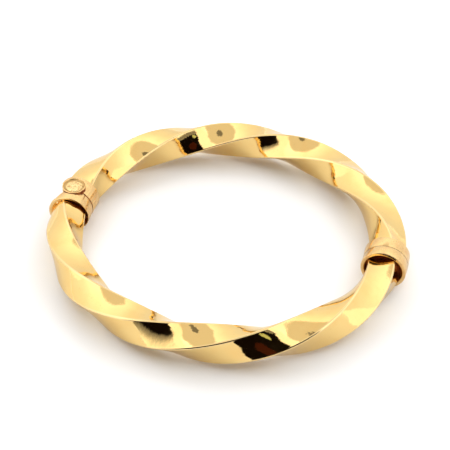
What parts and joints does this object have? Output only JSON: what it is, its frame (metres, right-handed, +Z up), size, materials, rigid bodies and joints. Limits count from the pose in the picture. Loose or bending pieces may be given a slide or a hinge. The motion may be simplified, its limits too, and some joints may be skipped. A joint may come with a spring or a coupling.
{
  "type": "hinged twisted tube bangle",
  "caption": "Oval hinged bangle of twisted square gold tube, with round collars at its hinge and clasp; it opens to go round the wrist.",
  "frame": {"origin": "under the middle of the hoop, on the surface that the bangle lies on", "axes": "+X from the hinge towards the clasp, +Y from the front arm towards the back arm, +Z up out of the hoop's plane"},
  "size_m": [0.0748, 0.068, 0.0091],
  "materials": {
    "polished_gold": "mirror polished yellow gold, fine scratches on the collars",
    "pin_gold": "hammered and dull yellow gold",
    "tongue_gold": "satin yellow gold"
  },
  "bodies": {
    "back_half": {"back_arm": "polished_gold", "hinge_pin": "pin_gold"},
    "front_half": {"front_arm": "polished_gold", "clasp_tongue": "tongue_gold"}
  },
  "joints": [
    {"name": "opening_hinge", "type": "hinge", "parent": "back_half", "child": "front_half", "pos_m": [-0.03285, 0.00105, 0.00455], "axis": [0, 0, -1], "range_deg": [0, 50]}
  ]
}
